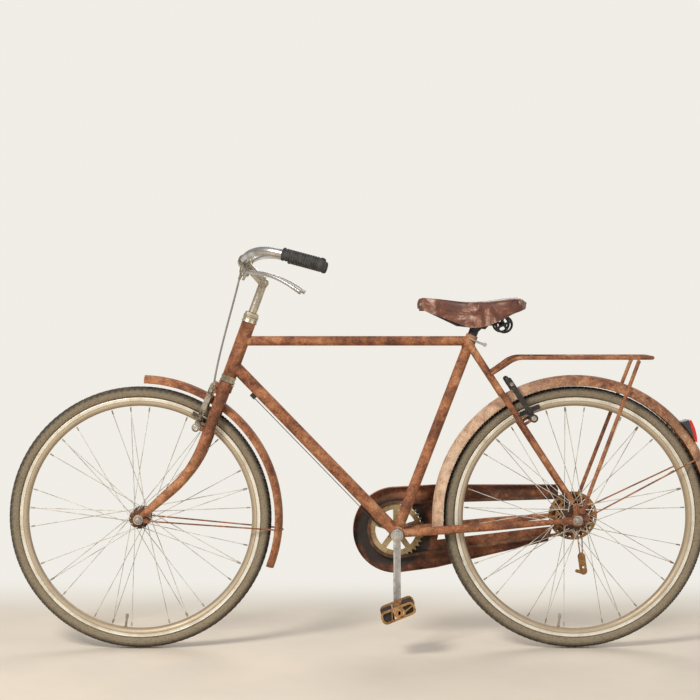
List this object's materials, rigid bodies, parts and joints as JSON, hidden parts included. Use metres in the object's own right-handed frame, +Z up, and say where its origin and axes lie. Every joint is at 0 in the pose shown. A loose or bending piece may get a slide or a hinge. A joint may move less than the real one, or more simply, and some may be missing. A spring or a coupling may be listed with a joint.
{
  "type": "rusty roadster bicycle",
  "caption": "Old rusty roadster bicycle with a diamond frame, mudguards, rear rack, chain guard, leather saddle, turning wheels, steering and crank.",
  "frame": {"origin": "on the middle of the saddle's top, where the rider sits", "axes": "+X towards the rear of the bicycle, +Y to the rider's right, +Z up"},
  "size_m": [1.873, 0.563, 1.0594],
  "materials": {
    "rust_paint": "rusted paint, orange-brown",
    "silver_metal": "dull, pitted plating",
    "headset_metal": "tarnished",
    "rim_alloy": "dusty, knurled brake track",
    "spoke_steel": "dull",
    "tyre_rubber": "dusty grey rubber",
    "hub_rust": "dark oily rust",
    "black_steel": "worn black",
    "grip_rubber": "ribbed black rubber",
    "saddle_leather": "worn brown leather",
    "lamp_housing": "dark grey",
    "lamp_lens": "red lens",
    "cable_housing": "grey cable housing",
    "pedal_rust": "yellow-brown rust",
    "ring_metal": "tarnished"
  },
  "bodies": {
    "frame": {"head_tube": "rust_paint", "top_tube": "rust_paint", "down_tube": "rust_paint", "seat_tube": "rust_paint", "bottom_bracket": "rust_paint", "chain_stay_left": "rust_paint", "chain_stay_right": "rust_paint", "seat_stay_left": "rust_paint", "seat_stay_right": "rust_paint", "frame_bridges": "rust_paint", "headset_cups": "headset_metal", "seat_post": "black_steel", "saddle": "saddle_leather", "saddle_frame": "black_steel", "saddle_springs": "black_steel", "rear_fender": "rust_paint", "rear_fender_stays": "rust_paint", "rear_rack": "rust_paint", "rack_legs": "rust_paint", "rear_brake": "silver_metal", "rear_light": "lamp_housing", "rear_light_lens": "lamp_lens", "chain_case": "rust_paint", "chain": "hub_rust", "rear_derailleur": "hub_rust", "rear_axle": "silver_metal", "gear_cable": "black_steel"},
    "steering": {"fork_crown": "rust_paint", "fork_blade_left": "rust_paint", "fork_blade_right": "rust_paint", "headset_locknut": "headset_metal", "stem": "silver_metal", "handlebar": "silver_metal", "grip_left": "grip_rubber", "grip_right": "grip_rubber", "brake_lever_left": "silver_metal", "brake_lever_right": "silver_metal", "front_brake": "silver_metal", "front_brake_cable": "cable_housing", "front_fender": "rust_paint", "front_fender_stays": "rust_paint", "front_axle": "silver_metal"},
    "front_wheel": {"front_tyre": "tyre_rubber", "front_rim": "rim_alloy", "front_spokes": "spoke_steel", "front_hub": "hub_rust"},
    "rear_wheel": {"rear_tyre": "tyre_rubber", "rear_rim": "rim_alloy", "rear_spokes": "spoke_steel", "rear_hub": "hub_rust", "freewheel": "hub_rust"},
    "crankset": {"crank_left": "silver_metal", "chainring": "ring_metal"},
    "left_pedal": {"pedal_left": "pedal_rust"}
  },
  "joints": [
    {"name": "steering_turn", "type": "hinge", "parent": "frame", "child": "steering", "pos_m": [-0.67815, 0, -0.201], "axis": [0.3453, 0, 0.9385], "range_deg": [-75, 75]},
    {"name": "front_wheel_spin", "type": "hinge", "parent": "steering", "child": "front_wheel", "pos_m": [-0.91378, 0, -0.575], "axis": [0, -1, 0], "continuous": true},
    {"name": "rear_wheel_spin", "type": "hinge", "parent": "frame", "child": "rear_wheel", "pos_m": [0.23522, 0, -0.575], "axis": [0, -1, 0], "continuous": true},
    {"name": "crank_spin", "type": "hinge", "parent": "frame", "child": "crankset", "pos_m": [-0.236, 0, -0.616], "axis": [0, -1, 0], "continuous": true},
    {"name": "left_pedal_spin", "type": "hinge", "parent": "crankset", "child": "left_pedal", "pos_m": [-0.236, 0, -0.8], "axis": [0, -1, 0], "continuous": true}
  ]
}
